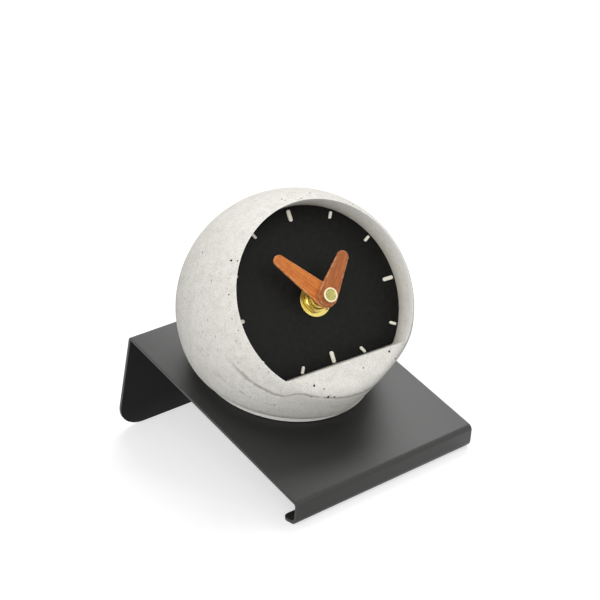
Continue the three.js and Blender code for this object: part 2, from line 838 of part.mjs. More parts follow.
const lidOutline = gap => roundedRectangle(
  -chamberX + gap, chamberX - gap, chamberLow + gap, chamberTop - gap, caseCorner - caseWall - gap
)

function makeGearPlate() {
  const [low, high] = [gearPlateLow - overcut, gearPlateTop + overcut]
  return cut(
    extruded(lidOutline(seatGap), gearPlateLow, gearPlateTop),
    ...[thirdAt, stepAt, rotorAt, motionAt].map(at => pivotHole(at, low, high)),
    pivotHole(centre, low, high, secondsArbor),
    pivotHole(settingAt, low, high, knobShaft)
  )
}

function makeCaseLid() {
  const top = caseBack + lidThick
  return cut(
    extruded(lidOutline(seatGap), caseBack, top),
    pivotHole(settingAt, caseBack - overcut, top + overcut, knobShaft)
  )
}

// Battery, lying across the bay with its raised pole to the right
function makeBattery() {
  const cell = new THREE.LatheGeometry([
    [0, -batteryEnd],
    [batteryRadius, -batteryEnd],
    [batteryRadius, batteryEnd - poleHeight],
    [poleRadius, batteryEnd - poleHeight],
    [poleRadius, batteryEnd],
    [0, batteryEnd]
  ].map(([r, z]) => new THREE.Vector2(r, z)), medium)
  return solidOf(cell.rotateZ(-Math.PI / 2).translate(0, batteryY, batteryZ))
}

// A contact is a leaf of sheet folded back on itself, between the cell's end and the bay's wall
function makeContact(side) {
  const [half, bend] = [contactSize / 2, contactDepth / 2]
  const outline = shapeOf([
    [0, -half],
    ...arcPoints(bend, half - bend, bend, Math.PI, 0, 2 * smallArc),
    [contactDepth, -half],
    [contactDepth - contactSheet, -half],
    ...arcPoints(bend, half - bend, bend - contactSheet, 0, Math.PI, 2 * smallArc),
    [contactSheet, -half]
  ])
  const inner = side * (batteryEnd + seatGap)
  const matrix = new THREE.Matrix4().makeRotationZ(side > 0 ? 0 : Math.PI)
  return extruded(outline, batteryZ - half, batteryZ + half, matrix.setPosition(inner, batteryY, 0))
}

// Circuit board on the gear plate, in the free corner of the chamber
const boardX0 = boardMargin - chamberX
const boardY1 = chamberTop - boardMargin
const boardLow = gearPlateTop + seatGap
const boardTop = boardLow + boardThick
const onBoard = ({ right, down }) => new THREE.Vector2(boardX0 + right, boardY1 - down)

function makeBoard() {
  return block(boardX0, boardX0 + boardWidth, boardY1 - boardHeight, boardY1, boardLow, boardTop)
}

function makeCrystal() {
  const can = new THREE.CylinderGeometry(crystalRadius, crystalRadius, crystalLength, coarse)
  const at = onBoard(crystalPlace)
  return solidOf(can.rotateZ(Math.PI / 2).translate(at.x, at.y, boardTop + seatGap + crystalRadius))
}

function makeChip() {
  const at = onBoard(chipPlace)
  const half = chipSize / 2
  const low = boardTop + seatGap
  return block(at.x - half, at.x + half, at.y - half, at.y + half, low, low + chipThick)
}

// Assembly
const clockWithStand = new THREE.Group()

const standGroup = new THREE.Group()
standGroup.position.y = -standMiddle
clockWithStand.add(standGroup)
node('stand', makeStand(), powderCoat, standGroup)

// The stand's sloping plate, from its front top corner
const plateGroup = new THREE.Group()
plateGroup.position.set(0, plateFront.x, plateFront.y)
plateGroup.rotation.x = slope
standGroup.add(plateGroup)

const clockGroup = new THREE.Group()
clockGroup.position.set(0, clockSetback, ballHeight)
clockGroup.rotation.z = radians(clockTurn)
plateGroup.add(clockGroup)
node('concrete_body', makeBall(), concrete, clockGroup)
node('base_cover', makeBaseCover(), coverPlastic, clockGroup)

// The dial's frame: X to three o'clock, Y to twelve, Z out of the dial
const dialGroup = new THREE.Group()
intoFace.decompose(dialGroup.position, dialGroup.quaternion, dialGroup.scale)
clockGroup.add(dialGroup)

node('dial', makeDial(), dialBlack, dialGroup)
for (let hour = 1; hour <= 12; hour++) {
  node(`hour_mark_${String(hour).padStart(2, '0')}`, makeMark(hour), markCream, dialGroup)
}

const shaftHole = bushRadius + fitGap
const rubberLow = rubberTop - rubberThick
node('rubber_washer', ring(shaftHole, rubberRadius, rubberLow, rubberTop), rubber, dialGroup)
node('threaded_bush', makeBush(), brass, dialGroup)
node('brass_washer', ring(shaftHole, washerRadius, washerLow, washerTop), brass, dialGroup)
node('hex_nut', makeNut(), brass, dialGroup)
node('long_hand', makeHand(longHand, longHandLow, pipeRadius + fitGap), handWood, dialGroup)
node('short_hand', makeHand(shortHand, shortHandLow, minuteArbor + fitGap), handWood, dialGroup)
node('cap_nut', makeCap(), brass, dialGroup)

node('movement_case', makeCase(), caseBlack, dialGroup)
node('gear_plate', makeGearPlate(), acetal, dialGroup)
node('case_lid', makeCaseLid(), caseBlack, dialGroup)
node('hour_wheel', makeHourWheel(), brass, dialGroup)
node('minute_arbor', makeMinuteArbor(), brass, dialGroup)
node('centre_wheel', makeCentreWheel(), acetal, dialGroup)
node('seconds_wheel', makeSecondsWheel(), acetal, dialGroup)

// Wheels away from the dial's centre stand on their own arbors
function offCentre(name, solid, material, at) {
  node(name, solid, material, dialGroup).position.set(at.x, at.y, 0)
}
offCentre('motion_wheel', makeMotionWheel(), acetal, motionAt)
offCentre('third_wheel', makeThirdWheel(), acetal, thirdAt)
offCentre('step_wheel', makeStepWheel(), acetal, stepAt)
offCentre('rotor', makeRotor(), ferrite, rotorAt)
offCentre('setting_knob', makeSettingKnob(), acetal, settingAt)

node('stator', makeStator(), steel, dialGroup)
node('coil', makeCoil(), copper, dialGroup)
node('battery', makeBattery(), batteryBlue, dialGroup)
node('contact_plus', makeContact(1), steel, dialGroup)
node('contact_minus', makeContact(-1), steel, dialGroup)
node('circuit_board', makeBoard(), boardGreen, dialGroup)
node('quartz_crystal', makeCrystal(), steel, dialGroup)
node('driver_chip', makeChip(), rubber, dialGroup)

export default clockWithStand
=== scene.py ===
import bpy
import bmesh
import json
import math
import random
from mathutils import Euler, Matrix, Vector


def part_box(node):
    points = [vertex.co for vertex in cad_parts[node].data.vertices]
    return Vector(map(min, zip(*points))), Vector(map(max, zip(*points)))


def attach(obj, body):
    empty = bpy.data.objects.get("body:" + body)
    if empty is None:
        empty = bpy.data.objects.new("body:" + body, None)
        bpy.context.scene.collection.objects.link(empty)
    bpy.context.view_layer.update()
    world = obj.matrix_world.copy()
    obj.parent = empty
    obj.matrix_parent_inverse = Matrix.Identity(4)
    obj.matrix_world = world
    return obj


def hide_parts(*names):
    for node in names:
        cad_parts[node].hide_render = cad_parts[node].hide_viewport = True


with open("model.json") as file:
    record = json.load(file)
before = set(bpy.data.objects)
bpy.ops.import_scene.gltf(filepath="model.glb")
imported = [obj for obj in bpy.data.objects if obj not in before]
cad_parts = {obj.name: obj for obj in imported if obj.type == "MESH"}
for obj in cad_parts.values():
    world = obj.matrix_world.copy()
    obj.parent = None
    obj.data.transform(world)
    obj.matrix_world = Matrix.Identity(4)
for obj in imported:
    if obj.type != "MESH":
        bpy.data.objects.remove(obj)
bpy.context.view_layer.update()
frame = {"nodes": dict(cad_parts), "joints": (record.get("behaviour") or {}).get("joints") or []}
scene = bpy.context.scene
scene.view_settings.view_transform = "Standard"

# Pieces are modelled in millimetres in a local frame, then set down in metres where the CAD has them
turning = next(joint for joint in frame["joints"] if joint["name"] == "minute_turn")
ballCentre = Vector(turning["pos_m"])


def middleOf(node):
    low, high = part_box(node)
    return (low + high) / 2


def settle(across, up, out, origin):
    turned = Matrix((across, up, out)).transposed().to_4x4()
    return Matrix.Translation(origin) @ turned @ Matrix.Scale(0.001, 4)


# The dial's frame: z out of the dial, x towards three o'clock
dialOut = Vector(turning["axis"]).normalized()
dialRight = middleOf("hour_mark_03") - middleOf("hour_mark_09")
dialRight = (dialRight - dialRight.project(dialOut)).normalized()
dialUp = dialOut.cross(dialRight)
onDial = settle(dialRight, dialUp, dialOut, ballCentre)
towardsDial = onDial.to_3x3().normalized().inverted()

# The base's frame: z square to the stand's plate, x to the clock's right
plateSlope = math.radians(20.2)
plateOut = Vector((0, -math.sin(plateSlope), math.cos(plateSlope)))
baseRight = dialOut.cross(plateOut).normalized() * -1
onBase = settle(baseRight, plateOut.cross(baseRight), plateOut, ballCentre)

# The stand's side plane: x across, y to the rear, z up, from the outer foot of the flange
standLow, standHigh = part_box("stand")
onStand = Matrix.Translation((0, standLow.y, 0)) @ Matrix.Scale(0.001, 4)
print("frame read")


# Helpers for modelling
def letGo():
    if bpy.context.object and bpy.context.object.mode != "OBJECT":
        bpy.ops.object.mode_set(mode="OBJECT")
    bpy.ops.object.select_all(action="DESELECT")


def pick(piece):
    letGo()
    piece.select_set(True)
    bpy.context.view_layer.objects.active = piece


def edit(piece):
    pick(piece)
    bpy.ops.object.mode_set(mode="EDIT")


def begin(name):
    piece = bpy.context.object
    piece.name = name
    piece.data.name = name
    return piece


# Selects the vertices, edges or faces of the piece in edit mode for which the test is true
def choose(piece, kind, test):
    bpy.ops.mesh.select_mode(type=kind)
    bpy.ops.mesh.select_all(action="DESELECT")
    mesh = bmesh.from_edit_mesh(piece.data)
    parts = {"VERT": mesh.verts, "EDGE": mesh.edges, "FACE": mesh.faces}[kind]
    for part in parts:
        if test(part):
            part.select_set(True)
    mesh.select_flush_mode()
    bmesh.update_edit_mesh(piece.data)


def midPoint(edge):
    return (edge.verts[0].co + edge.verts[1].co) / 2


def sharp(edge, degrees=60):
    return len(edge.link_faces) == 2 and edge.calc_face_angle() > math.radians(degrees)


# A test for the sharp edges above a level
def sharpAbove(level):
    return lambda edge: sharp(edge) and midPoint(edge).z > level


def roundOff(piece, test, width, steps=3):
    choose(piece, "EDGE", test)
    bpy.ops.mesh.bevel(offset=width, segments=steps, affect="EDGES", clamp_overlap=False)


def raiseFaces(height):
    bpy.ops.mesh.extrude_region_move(TRANSFORM_OT_translate={"value": (0, 0, height)})


def tidy(piece, merge=0.0005):
    edit(piece)
    bpy.ops.mesh.select_all(action="SELECT")
    bpy.ops.mesh.remove_doubles(threshold=merge)
    bpy.ops.mesh.normals_make_consistent(inside=False)
    letGo()


def applied(piece, kind, **settings):
    pick(piece)
    modifier = piece.modifiers.new(kind.title(), kind)
    for key, value in settings.items():
        setattr(modifier, key, value)
    bpy.ops.object.modifier_apply(modifier=modifier.name)


def cutBy(piece, tool, operation="DIFFERENCE", **settings):
    applied(piece, "BOOLEAN", object=tool, operation=operation, solver="EXACT", **settings)
    bpy.data.objects.remove(tool)


def cylinder(name, radius, low, high, sides=96, turn=0):
    letGo()
    bpy.ops.mesh.primitive_cylinder_add(vertices=sides, radius=radius, depth=high - low,
                                        location=(0, 0, (low + high) / 2), rotation=(0, 0, turn))
    piece = begin(name)
    pick(piece)
    bpy.ops.object.transform_apply()
    return piece


# Drills through from low to high, with some room at both ends
def drill(piece, radius, low, high, sides=64, room=1):
    cutBy(piece, cylinder("drill", radius, low - room, high + room, sides))


# Sets a piece down in the object's frame, gives it its body, finish and smoothing, and hides the CAD node
# that it takes the place of
def place(piece, where, body, node, finish=None, angle=35):
    pick(piece)
    bpy.ops.object.shade_smooth_by_angle(angle=math.radians(angle))
    piece.matrix_world = where @ piece.matrix_world
    bpy.ops.object.transform_apply(location=True, rotation=True, scale=True)
    if finish:
        piece.data.materials.clear()
        piece.data.materials.append(finish)
    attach(piece, body)
    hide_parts(node)


# Gives a second finish to the faces for which the test is true
def refinish(piece, finish, test):
    piece.data.materials.append(finish)
    for face in piece.data.polygons:
        if test(face):
            face.material_index = 1


# Shader helpers
def linear(red, green, blue):
    def channel(c):
        c /= 255
        return c / 12.92 if c <= 0.04045 else ((c + 0.055) / 1.055) ** 2.4
    return (channel(red), channel(green), channel(blue), 1)


def grey(value):
    return (value, value, value, 1)


class Wire:
    def __init__(self, tree, socket=None):
        self.tree = tree
        self.socket = socket

    def node(self, kind, settings=None, sockets=None, output=0):
        made = self.tree.nodes.new(kind)
        for name, value in (settings or {}).items():
            if name == "stops":
                stops = made.color_ramp.elements
                while len(stops) < len(value):
                    stops.new(1)
                for stop, (spot, colour) in zip(stops, value):
                    stop.position = spot
                    stop.color = colour
            else:
                setattr(made, name, value)
        for key, value in (sockets or {}).items():
            if isinstance(value, Wire):
                self.tree.links.new(made.inputs[key], value.socket)
            else:
                made.inputs[key].default_value = value
        return Wire(self.tree, made.outputs[output])

    def maths(self, operation, *values):
        return self.node("ShaderNodeMath", {"operation": operation}, dict(enumerate(values)))

    def __add__(self, other): return self.maths("ADD", self, other)
    def __radd__(self, other): return self.maths("ADD", other, self)
    def __sub__(self, other): return self.maths("SUBTRACT", self, other)
    def __rsub__(self, other): return self.maths("SUBTRACT", other, self)
    def __mul__(self, other): return self.maths("MULTIPLY", self, other)
    def __rmul__(self, other): return self.maths("MULTIPLY", other, self)
    def __truediv__(self, other): return self.maths("DIVIDE", self, other)
    def __rtruediv__(self, other): return self.maths("DIVIDE", other, self)
    def __pow__(self, other): return self.maths("POWER", self, other)
    def absolute(self): return self.maths("ABSOLUTE", self)
    def orMore(self, other): return self.maths("MAXIMUM", self, other)

    # 0 below the low value, 1 above the high one, smooth between
    def rise(self, low, high):
        return self.node("ShaderNodeMapRange", {"interpolation_type": "SMOOTHSTEP"},
                         {0: self, 1: low, 2: high, 3: 0.0, 4: 1.0})

    # 1 from start to end, fading to 0 at before and after
    def band(self, before, start, end, after):
        return self.rise(before, start) * (1 - self.rise(end, after))

    def blend(self, first, second):
        return self.node("ShaderNodeMix", {"data_type": "RGBA"}, {0: self, 6: first, 7: second}, 2)

    def noise(self, where, scale, detail=2.0, rough=0.5):
        return self.node("ShaderNodeTexNoise", {},
                         {"Vector": where, "Scale": scale, "Detail": detail, "Roughness": rough})

    def cells(self, where, scale, output=0):
        return self.node("ShaderNodeTexVoronoi", {}, {"Vector": where, "Scale": scale}, output)

    # dots in the middle of those cells of a pattern that one channel of their own colour picks
    def dots(self, where, scale, edge, picked, channel=0):
        dot = 1 - self.cells(where, scale).rise(*edge)
        return dot * self.parts(self.cells(where, scale, 1))[channel].rise(*picked)

    def stretched(self, where, scale=(1, 1, 1), turn=(0, 0, 0), move=(0, 0, 0)):
        return self.node("ShaderNodeMapping", {},
                         {"Vector": where, "Location": move, "Rotation": turn, "Scale": scale})

    def parts(self, where):
        made = self.tree.nodes.new("ShaderNodeSeparateXYZ")
        self.tree.links.new(made.inputs[0], where.socket)
        return [Wire(self.tree, output) for output in made.outputs]

    def bump(self, height, strength, distance):
        return self.node("ShaderNodeBump", {},
                         {"Height": height, "Strength": strength, "Distance": distance})


# A new material: returns it, its shader, a wire to build from, and the place on the piece in millimetres
def newFinish(name, **fixed):
    material = bpy.data.materials.new(name)
    material.use_nodes = True
    shader = material.node_tree.nodes["Principled BSDF"]
    for key, value in fixed.items():
        shader.inputs[key.replace("_", " ")].default_value = value
    start = Wire(material.node_tree)
    spot = start.node("ShaderNodeTexCoord", output=3)
    return material, shader, start, start.stretched(spot, (1000, 1000, 1000))


def feed(shader, **links):
    for key, wire in links.items():
        wire.tree.links.new(shader.inputs[key.replace("_", " ")], wire.socket)


# Concrete: pale, with fine sand, short upright dashes on the left, the wrinkles of the casting and painted
# shade below them.
# The pocket's wall, which gets painted shade in its depth and painted light towards the rim, is picked out
# by its distance from the dial's axis, its height and its depth.
concreteLook = {
    "light": linear(242, 240, 233), "dark": linear(212, 209, 200), "warm": linear(230, 223, 210),
    # below: painted shade on the surface under the wrinkle
    "below": linear(202, 199, 190), "speck": linear(96, 92, 84), "dash": linear(140, 135, 126),
    # deep: painted shade in the depth of the pocket's wall; pale: painted light towards its rim
    "line": linear(150, 146, 137), "deep": linear(196, 191, 180), "pale": linear(250, 249, 244),
    "cloudScale": 0.3, "fineScale": 1.6, "stainScale": 0.05, "waveScale": 0.35, "brokenScale": 0.22,
    "dashScale": 0.7, "dashStretch": (1.3, 1.3, 0.3), "speckScale": 0.55, "fleckScale": 1.7,
    "wallRing": (39.6, 39.9, 40.1, 40.4), "wallFloor": (-28, -27.4), "wallDepth": (12, 14, 29.6, 30.2),
    "bump": 0.35, "bumpDepth": 0.00014,
}
# Distance of the casting's wrinkle from the dial's axis, by degrees to the left of the lowest point
wrinkle = [
    (-60, 42.4), (-17, 41.9), (0, 41.5), (17, 41.1), (30, 41.3), (35, 41.6), (38, 42.6), (41, 44.0),
    (46, 44.8), (55, 45.5), (69, 46.3), (80, 46.9),
]
wrinkleRange = {"start": -60, "span": 140, "nearest": 36, "reach": 12}


# The wrinkle's distance at a bearing, held in a colour ramp
def wrinkleAt(w, bearing):
    start, span = wrinkleRange["start"], wrinkleRange["span"]
    nearest, reach = wrinkleRange["nearest"], wrinkleRange["reach"]
    stops = [((angle - start) / span, grey((r - nearest) / reach)) for angle, r in wrinkle]
    return w.node("ShaderNodeValToRGB", {"stops": stops}, {0: (bearing - start) / span}) * reach + nearest


def makeConcrete():
    look = concreteLook
    material, shader, w, spot = newFinish("castConcrete", Roughness=0.86, Specular_IOR_Level=0.3)
    cloud = w.noise(spot, look["cloudScale"], 6.0, 0.62)
    fine = w.noise(spot, look["fineScale"], 4.0, 0.66)
    tone = cloud.rise(0.38, 0.68) * 0.35 + fine.rise(0.44, 0.68) * 0.65
    base = tone.blend(look["light"], look["dark"])
    stain = w.noise(w.stretched(spot, move=(31, 7, 12)), look["stainScale"], 3.0, 0.55)
    base = (stain.rise(0.55, 0.78) * 0.35).blend(base, look["warm"])

    # the place in the dial's frame, from the ball's centre
    flat = w.stretched(spot, turn=tuple(towardsDial.to_euler()),
                       move=tuple(towardsDial @ ballCentre * -1000))
    across, up, out = w.parts(flat)
    bearing = w.maths("ARCTAN2", across * -1, up * -1) * math.degrees(1)
    reach = (across * across + up * up) ** 0.5

    # wrinkles of the casting, broken here and there, and painted shade on the surface below them
    wave = w.noise(spot, look["waveScale"], 3.0, 0.6)
    broken = w.noise(spot, look["brokenScale"], 4.0, 0.7)
    away = reach - wrinkleAt(w, bearing) + (wave - 0.5) * 0.9
    within = bearing.band(-60, -30, 60, 80) * out.rise(-6, 4)

    def seam(gap, width):
        return 1 - (away - gap).absolute().rise(0.0, width)

    seams = seam(0.0, 0.6) * broken.rise(0.3, 0.52) + seam(3.1, 0.4) * broken.rise(0.5, 0.62) * 0.6
    seams = (seams + seam(5.4, 0.5) * broken.rise(0.46, 0.66) * 0.5) * within
    # painted shade below the wrinkle
    below = away.rise(0.0, 1.2) * within * bearing.band(-60, 0, 30, 55)
    base = (below * 0.45).blend(base, look["below"])
    base = (seams * 0.75).blend(base, look["line"])

    # the pocket's wall gets painted shade in its depth and painted light towards the rim
    wall = reach.band(*look["wallRing"]) * up.rise(*look["wallFloor"]) * out.band(*look["wallDepth"])
    base = (wall * (1 - out.rise(18, 25)) * 0.8).blend(base, look["deep"])
    base = (wall * out.rise(24, 29) * 0.8).blend(base, look["pale"])

    # short upright dashes, thickest to the left of the wrinkle
    upright = w.stretched(spot, look["dashStretch"])
    dash = w.dots(upright, look["dashScale"], (0.08, 0.2), (0.56, 0.62))
    side = bearing.band(20, 50, 105, 140) * broken.rise(0.3, 0.55)
    base = (dash * (side * 0.75 + 0.1)).blend(base, look["dash"])

    # sand grains of two sizes, few of them dark
    speck = w.dots(spot, look["speckScale"], (0.05, 0.16), (0.74, 0.8))
    fleck = w.dots(spot, look["fleckScale"], (0.1, 0.28), (0.8, 0.86), 1)
    base = (speck * 0.7).blend(base, look["speck"])
    base = (fleck * 0.5).blend(base, look["dash"])
    height = fine * 0.6 + cloud * 0.4 - speck * 0.8 - fleck * 0.3 - dash * side * 0.4 - seams * 1.4
    feed(shader, Base_Color=base, Roughness=fine * 0.2 + 0.78,
         Normal=w.bump(height, look["bump"], look["bumpDepth"]))
    return material


# Painted shade inside the pinholes: dark brown, mottled
def makePit():
    material, shader, w, spot = newFinish("pinholeShade", Roughness=0.95, Specular_IOR_Level=0.1)
    pitShadeMottle = w.noise(spot, 3.0, 3.0)
    feed(shader, Base_Color=pitShadeMottle.blend(linear(52, 46, 40), linear(92, 84, 74)))
    return material


# Powder coat: charcoal with a fine orange-peel grain; a darker, duller copy is painted shade for the faces
# that look down
coatLook = {
    "base": linear(24, 24, 23), "light": linear(44, 44, 41), "grain": 3.1, "broadScale": 0.05,
    # the darker pair below is painted shade for the faces that look down
    "shadeBase": linear(12, 12, 15), "shadeLight": linear(22, 22, 26),
    "bump": 0.5, "bumpDepth": 0.00012,
}


def makeCoat():
    look = coatLook
    material, shader, w, spot = newFinish("powderCoat", Specular_IOR_Level=0.5)
    grit = w.noise(spot, look["grain"], 3.0, 0.7)
    broad = w.noise(spot, look["broadScale"], 2.0)
    tone = grit.rise(0.42, 0.72) * 0.6 + broad * 0.25
    feed(shader, Base_Color=tone.blend(look["base"], look["light"]), Roughness=grit * 0.2 + 0.3,
         Normal=w.bump(grit, look["bump"], look["bumpDepth"]))
    return material


# Painted shade: a darker, duller copy of the coat for the faces that look down
def makeShadedCoat():
    look = coatLook
    material, shader, w, spot = newFinish("powderCoatPaintedShade", Specular_IOR_Level=0.14)
    grit = w.noise(spot, look["grain"], 3.0, 0.7)
    feed(shader, Base_Color=grit.rise(0.42, 0.72).blend(look["shadeBase"], look["shadeLight"]),
         Roughness=grit * 0.2 + 0.5, Normal=w.bump(grit, look["bump"], look["bumpDepth"]))
    return material


def makePlain(name, dark, light, rough, scale=1.2, **fixed):
    material, shader, w, spot = newFinish(name, **fixed)
    wear = w.noise(spot, scale, 4.0, 0.6)
    feed(shader, Base_Color=wear.rise(0.35, 0.7).blend(dark, light),
         Roughness=wear * 0.16 + (rough - 0.08), Normal=w.bump(wear, 0.08, 0.0001))
    return material


# Plated metal: fine lines along the piece and a few scuffs
def makeMetal(name, dark, light, rough, scale=1.0):
    material, shader, w, spot = newFinish(name, Metallic=1.0)
    brushed = w.noise(w.stretched(spot, (1.0, 6.0, 6.0)), scale, 3.0, 0.6)
    scuff = w.noise(spot, 0.8, 4.0, 0.7).rise(0.5, 0.75)
    feed(shader, Base_Color=(brushed * 0.5 + scuff * 0.5).blend(light, dark),
         Roughness=scuff * 0.18 + brushed * 0.06 + rough, Normal=w.bump(brushed, 0.12, 0.00005))
    return material


# Wood: grain along the hand, with darker pores and a painted highlight along the edge, held in an
# attribute
woodLook = {"grain": (2.6, 0.16, 1.0), "pores": (6.5, 0.5, 1.0), "poreShade": 0.35, "patchScale": 0.7}

# Where the hands point, in degrees clockwise from twelve
handBearing = {"long": -39.1, "short": 41.4}


def makeWood(name, pale, deep, edge, bearing):
    look = woodLook
    material, shader, w, spot = newFinish(name, Specular_IOR_Level=0.35)
    flat = w.stretched(spot, turn=tuple(towardsDial.to_euler()))
    along = w.stretched(flat, turn=(0, 0, math.radians(bearing)))
    grain = w.noise(w.stretched(along, look["grain"]), 1.0, 5.0, 0.62)
    pores = w.noise(w.stretched(along, look["pores"]), 1.0, 2.0, 0.7).rise(0.56, 0.68)
    edgeGlint = w.node("ShaderNodeAttribute", {"attribute_name": "edge"}, output=2)
    base = grain.rise(0.36, 0.66).blend(pale, deep)
    base = (pores * 0.55).blend(base, tuple(c * look["poreShade"] for c in deep[:3]) + (1,))
    patch = w.noise(spot, look["patchScale"], 3.0).rise(0.35, 0.6)
    # painted highlight along the hand's edge, broken into patches
    base = (edgeGlint * patch * 0.75).blend(base, edge)
    feed(shader, Base_Color=base, Roughness=grain * 0.2 + 0.42,
         Normal=w.bump(grain - pores * 0.6, 0.3, 0.00008))
    return material


finishes = {
    "concrete": makeConcrete(),
    "pit": makePit(),
    "coat": makeCoat(),
    "coatPaintedShade": makeShadedCoat(),
    "cover": makePlain("coverPlastic", linear(238, 236, 230), linear(248, 246, 241), 0.5),
    "dial": makePlain("dialBlack", linear(14, 14, 13), linear(22, 22, 20), 0.5, 0.5,
                      Specular_IOR_Level=0.14),
    "cream": makePlain("markCream", linear(226, 222, 206), linear(240, 237, 224), 0.55),
    # the third colour of each wood is its painted edge highlight
    "longWood": makeWood("longHandWood", linear(218, 130, 52), linear(188, 96, 38),
                         linear(226, 168, 112), handBearing["long"]),
    "shortWood": makeWood("shortHandWood", linear(182, 104, 50), linear(148, 76, 34),
                          linear(208, 156, 116), handBearing["short"]),
    "brass": makeMetal("brass", linear(190, 168, 84), linear(226, 206, 122), 0.3),
    "capBrass": makeMetal("capBrass", linear(206, 190, 146), linear(232, 220, 186), 0.36),
    "dish": makeMetal("capDish", linear(104, 96, 44), linear(188, 182, 116), 0.4, 0.9),
    "rubber": makePlain("washerRubber", linear(26, 26, 26), linear(38, 38, 38), 0.8),
    "case": makePlain("caseBlack", linear(28, 29, 31), linear(40, 41, 43), 0.55),
    "acetal": makePlain("wheelAcetal", linear(232, 231, 224), linear(244, 243, 238), 0.42),
    "ferrite": makePlain("rotorFerrite", linear(52, 54, 58), linear(74, 76, 80), 0.4),
    "steel": makeMetal("steel", linear(150, 152, 156), linear(196, 198, 202), 0.3),
    "copper": makeMetal("coilCopper", linear(150, 76, 34), linear(196, 110, 56), 0.3, 3.0),
    "battery": makePlain("batteryWrap", linear(40, 78, 104), linear(60, 110, 140), 0.35),
    "board": makePlain("boardGreen", linear(34, 88, 56), linear(52, 116, 74), 0.5),
}
print("finishes ready")

# Levels along the dial's axis, from the ball's centre
levels = {"face": 30.6, "floor": 15.0, "dial": 18.3, "dialBack": 15.3}

# How far the dial's flat is turned against the hour marks
flatTurn = math.radians(1.1)

# Concrete ball: the pocket in front, the flat base, the way in from below and the well behind the dial
ballSizes = {
    "radius": 50, "lip": 6, "meridians": 192, "arcSteps": 72, "lipSteps": 6,
    "pocket": 40, "chord": -27.5, "corner": 1.2, "rim": 0.45,
    "base": -28.5, "baseRound": 12, "opening": 25, "openingDepth": 20,
    "wellCorner": 4, "wellRoom": 0.5, "wellBack": 3.7, "wellFront": 0.2,
    "flatter": {"towards": (0.47, -0.87, 0.13), "held": 1.2, "depth": 5.0, "reach": 31},
}


def spun(name, profile, steps):
    letGo()
    bpy.ops.mesh.primitive_plane_add(size=1)
    piece = begin(name)
    edit(piece)
    bpy.ops.mesh.delete(type="VERT")
    mesh = bmesh.from_edit_mesh(piece.data)
    row = [mesh.verts.new((r, 0, z)) for r, z in profile]
    for first, second in zip(row, row[1:]):
        mesh.edges.new((first, second))
    bmesh.update_edit_mesh(piece.data)
    bpy.ops.mesh.select_all(action="SELECT")
    bpy.ops.mesh.spin(steps=steps, angle=2 * math.pi, center=(0, 0, 0), axis=(0, 0, 1))
    tidy(piece)
    return piece


def arc(cx, cz, radius, start, end, steps):
    return [(cx + radius * math.cos(start + (end - start) * i / steps),
             cz + radius * math.sin(start + (end - start) * i / steps)) for i in range(steps + 1)]


# A circle with one flat below its centre, raised to a block
def dBlock(name, radius, chord, low, high):
    letGo()
    bpy.ops.mesh.primitive_circle_add(vertices=ballSizes["meridians"], radius=radius,
                                      fill_type="NGON", location=(0, 0, low))
    piece = begin(name)
    pick(piece)
    bpy.ops.object.transform_apply()
    edit(piece)
    bpy.ops.mesh.select_all(action="SELECT")
    down = Vector((math.sin(flatTurn), -math.cos(flatTurn), 0))
    bpy.ops.mesh.bisect(plane_co=down * -chord, plane_no=down, clear_outer=True)
    choose(piece, "VERT", lambda v: abs(v.co.xy.dot(down.xy) + chord) < 0.01)
    bpy.ops.mesh.bevel(offset=ballSizes["corner"], segments=5, affect="VERTICES")
    bpy.ops.mesh.select_all(action="SELECT")
    raiseFaces(high - low)
    tidy(piece)
    return piece


# Level and distance from the dial's axis of the centre that the ball's lip is rounded about
def lipCentre():
    level = levels["face"] - ballSizes["lip"]
    return level, math.sqrt((ballSizes["radius"] - ballSizes["lip"]) ** 2 - level ** 2)


def turnBall():
    size = ballSizes
    lipLevel, lipReach = lipCentre()
    lipAngle = math.atan2(lipLevel, lipReach)
    profile = arc(0, 0, size["radius"], -math.pi / 2, lipAngle, size["arcSteps"])
    profile += arc(lipReach, lipLevel, size["lip"], lipAngle, math.pi / 2, size["lipSteps"])[1:]
    profile[0] = (0, -size["radius"])
    ball = spun("concreteBall", profile, size["meridians"])
    edit(ball)
    choose(ball, "EDGE", lambda e: e.is_boundary)
    bpy.ops.mesh.edge_face_add()
    # the casting is a little flatter at the lower right
    flat = size["flatter"]
    spot = Vector(flat["towards"]).normalized() * size["radius"]
    choose(ball, "VERT", lambda v: (v.co - spot).length < flat["held"])
    bpy.ops.transform.translate(value=spot.normalized() * -flat["depth"], use_proportional_edit=True,
                                proportional_edit_falloff="SMOOTH", proportional_size=flat["reach"])
    tidy(ball)
    return ball


# A tool that leaves the ball a rounded edge round its flat base
def baseTool():
    size = ballSizes
    level = size["base"] + size["baseRound"]
    reach = math.sqrt((size["radius"] - size["baseRound"]) ** 2 - level ** 2)
    meet = math.atan2(level, reach)
    below, outside = -size["radius"] - 2, size["radius"] + 3
    outline = [(0, below), (outside, below), (outside, size["radius"] * math.sin(meet))]
    outline += arc(reach, level, size["baseRound"], meet, -math.pi / 2, 8) + [(0, size["base"])]
    return spun("baseTool", outline, size["meridians"])


# The corners, in the dial's frame, of the well round the movement's case
def wellCorners():
    size = ballSizes
    back = onDial.inverted()
    spots = [back @ v.co for v in frame["nodes"]["movement_case"].data.vertices]
    low = Vector([min(p[i] for p in spots) for i in range(3)])
    high = Vector([max(p[i] for p in spots) for i in range(3)])
    room = size["wellRoom"]
    return (low - Vector((room, room, size["wellBack"])),
            Vector((high.x + room, high.y + room, levels["floor"] + size["wellFront"])))


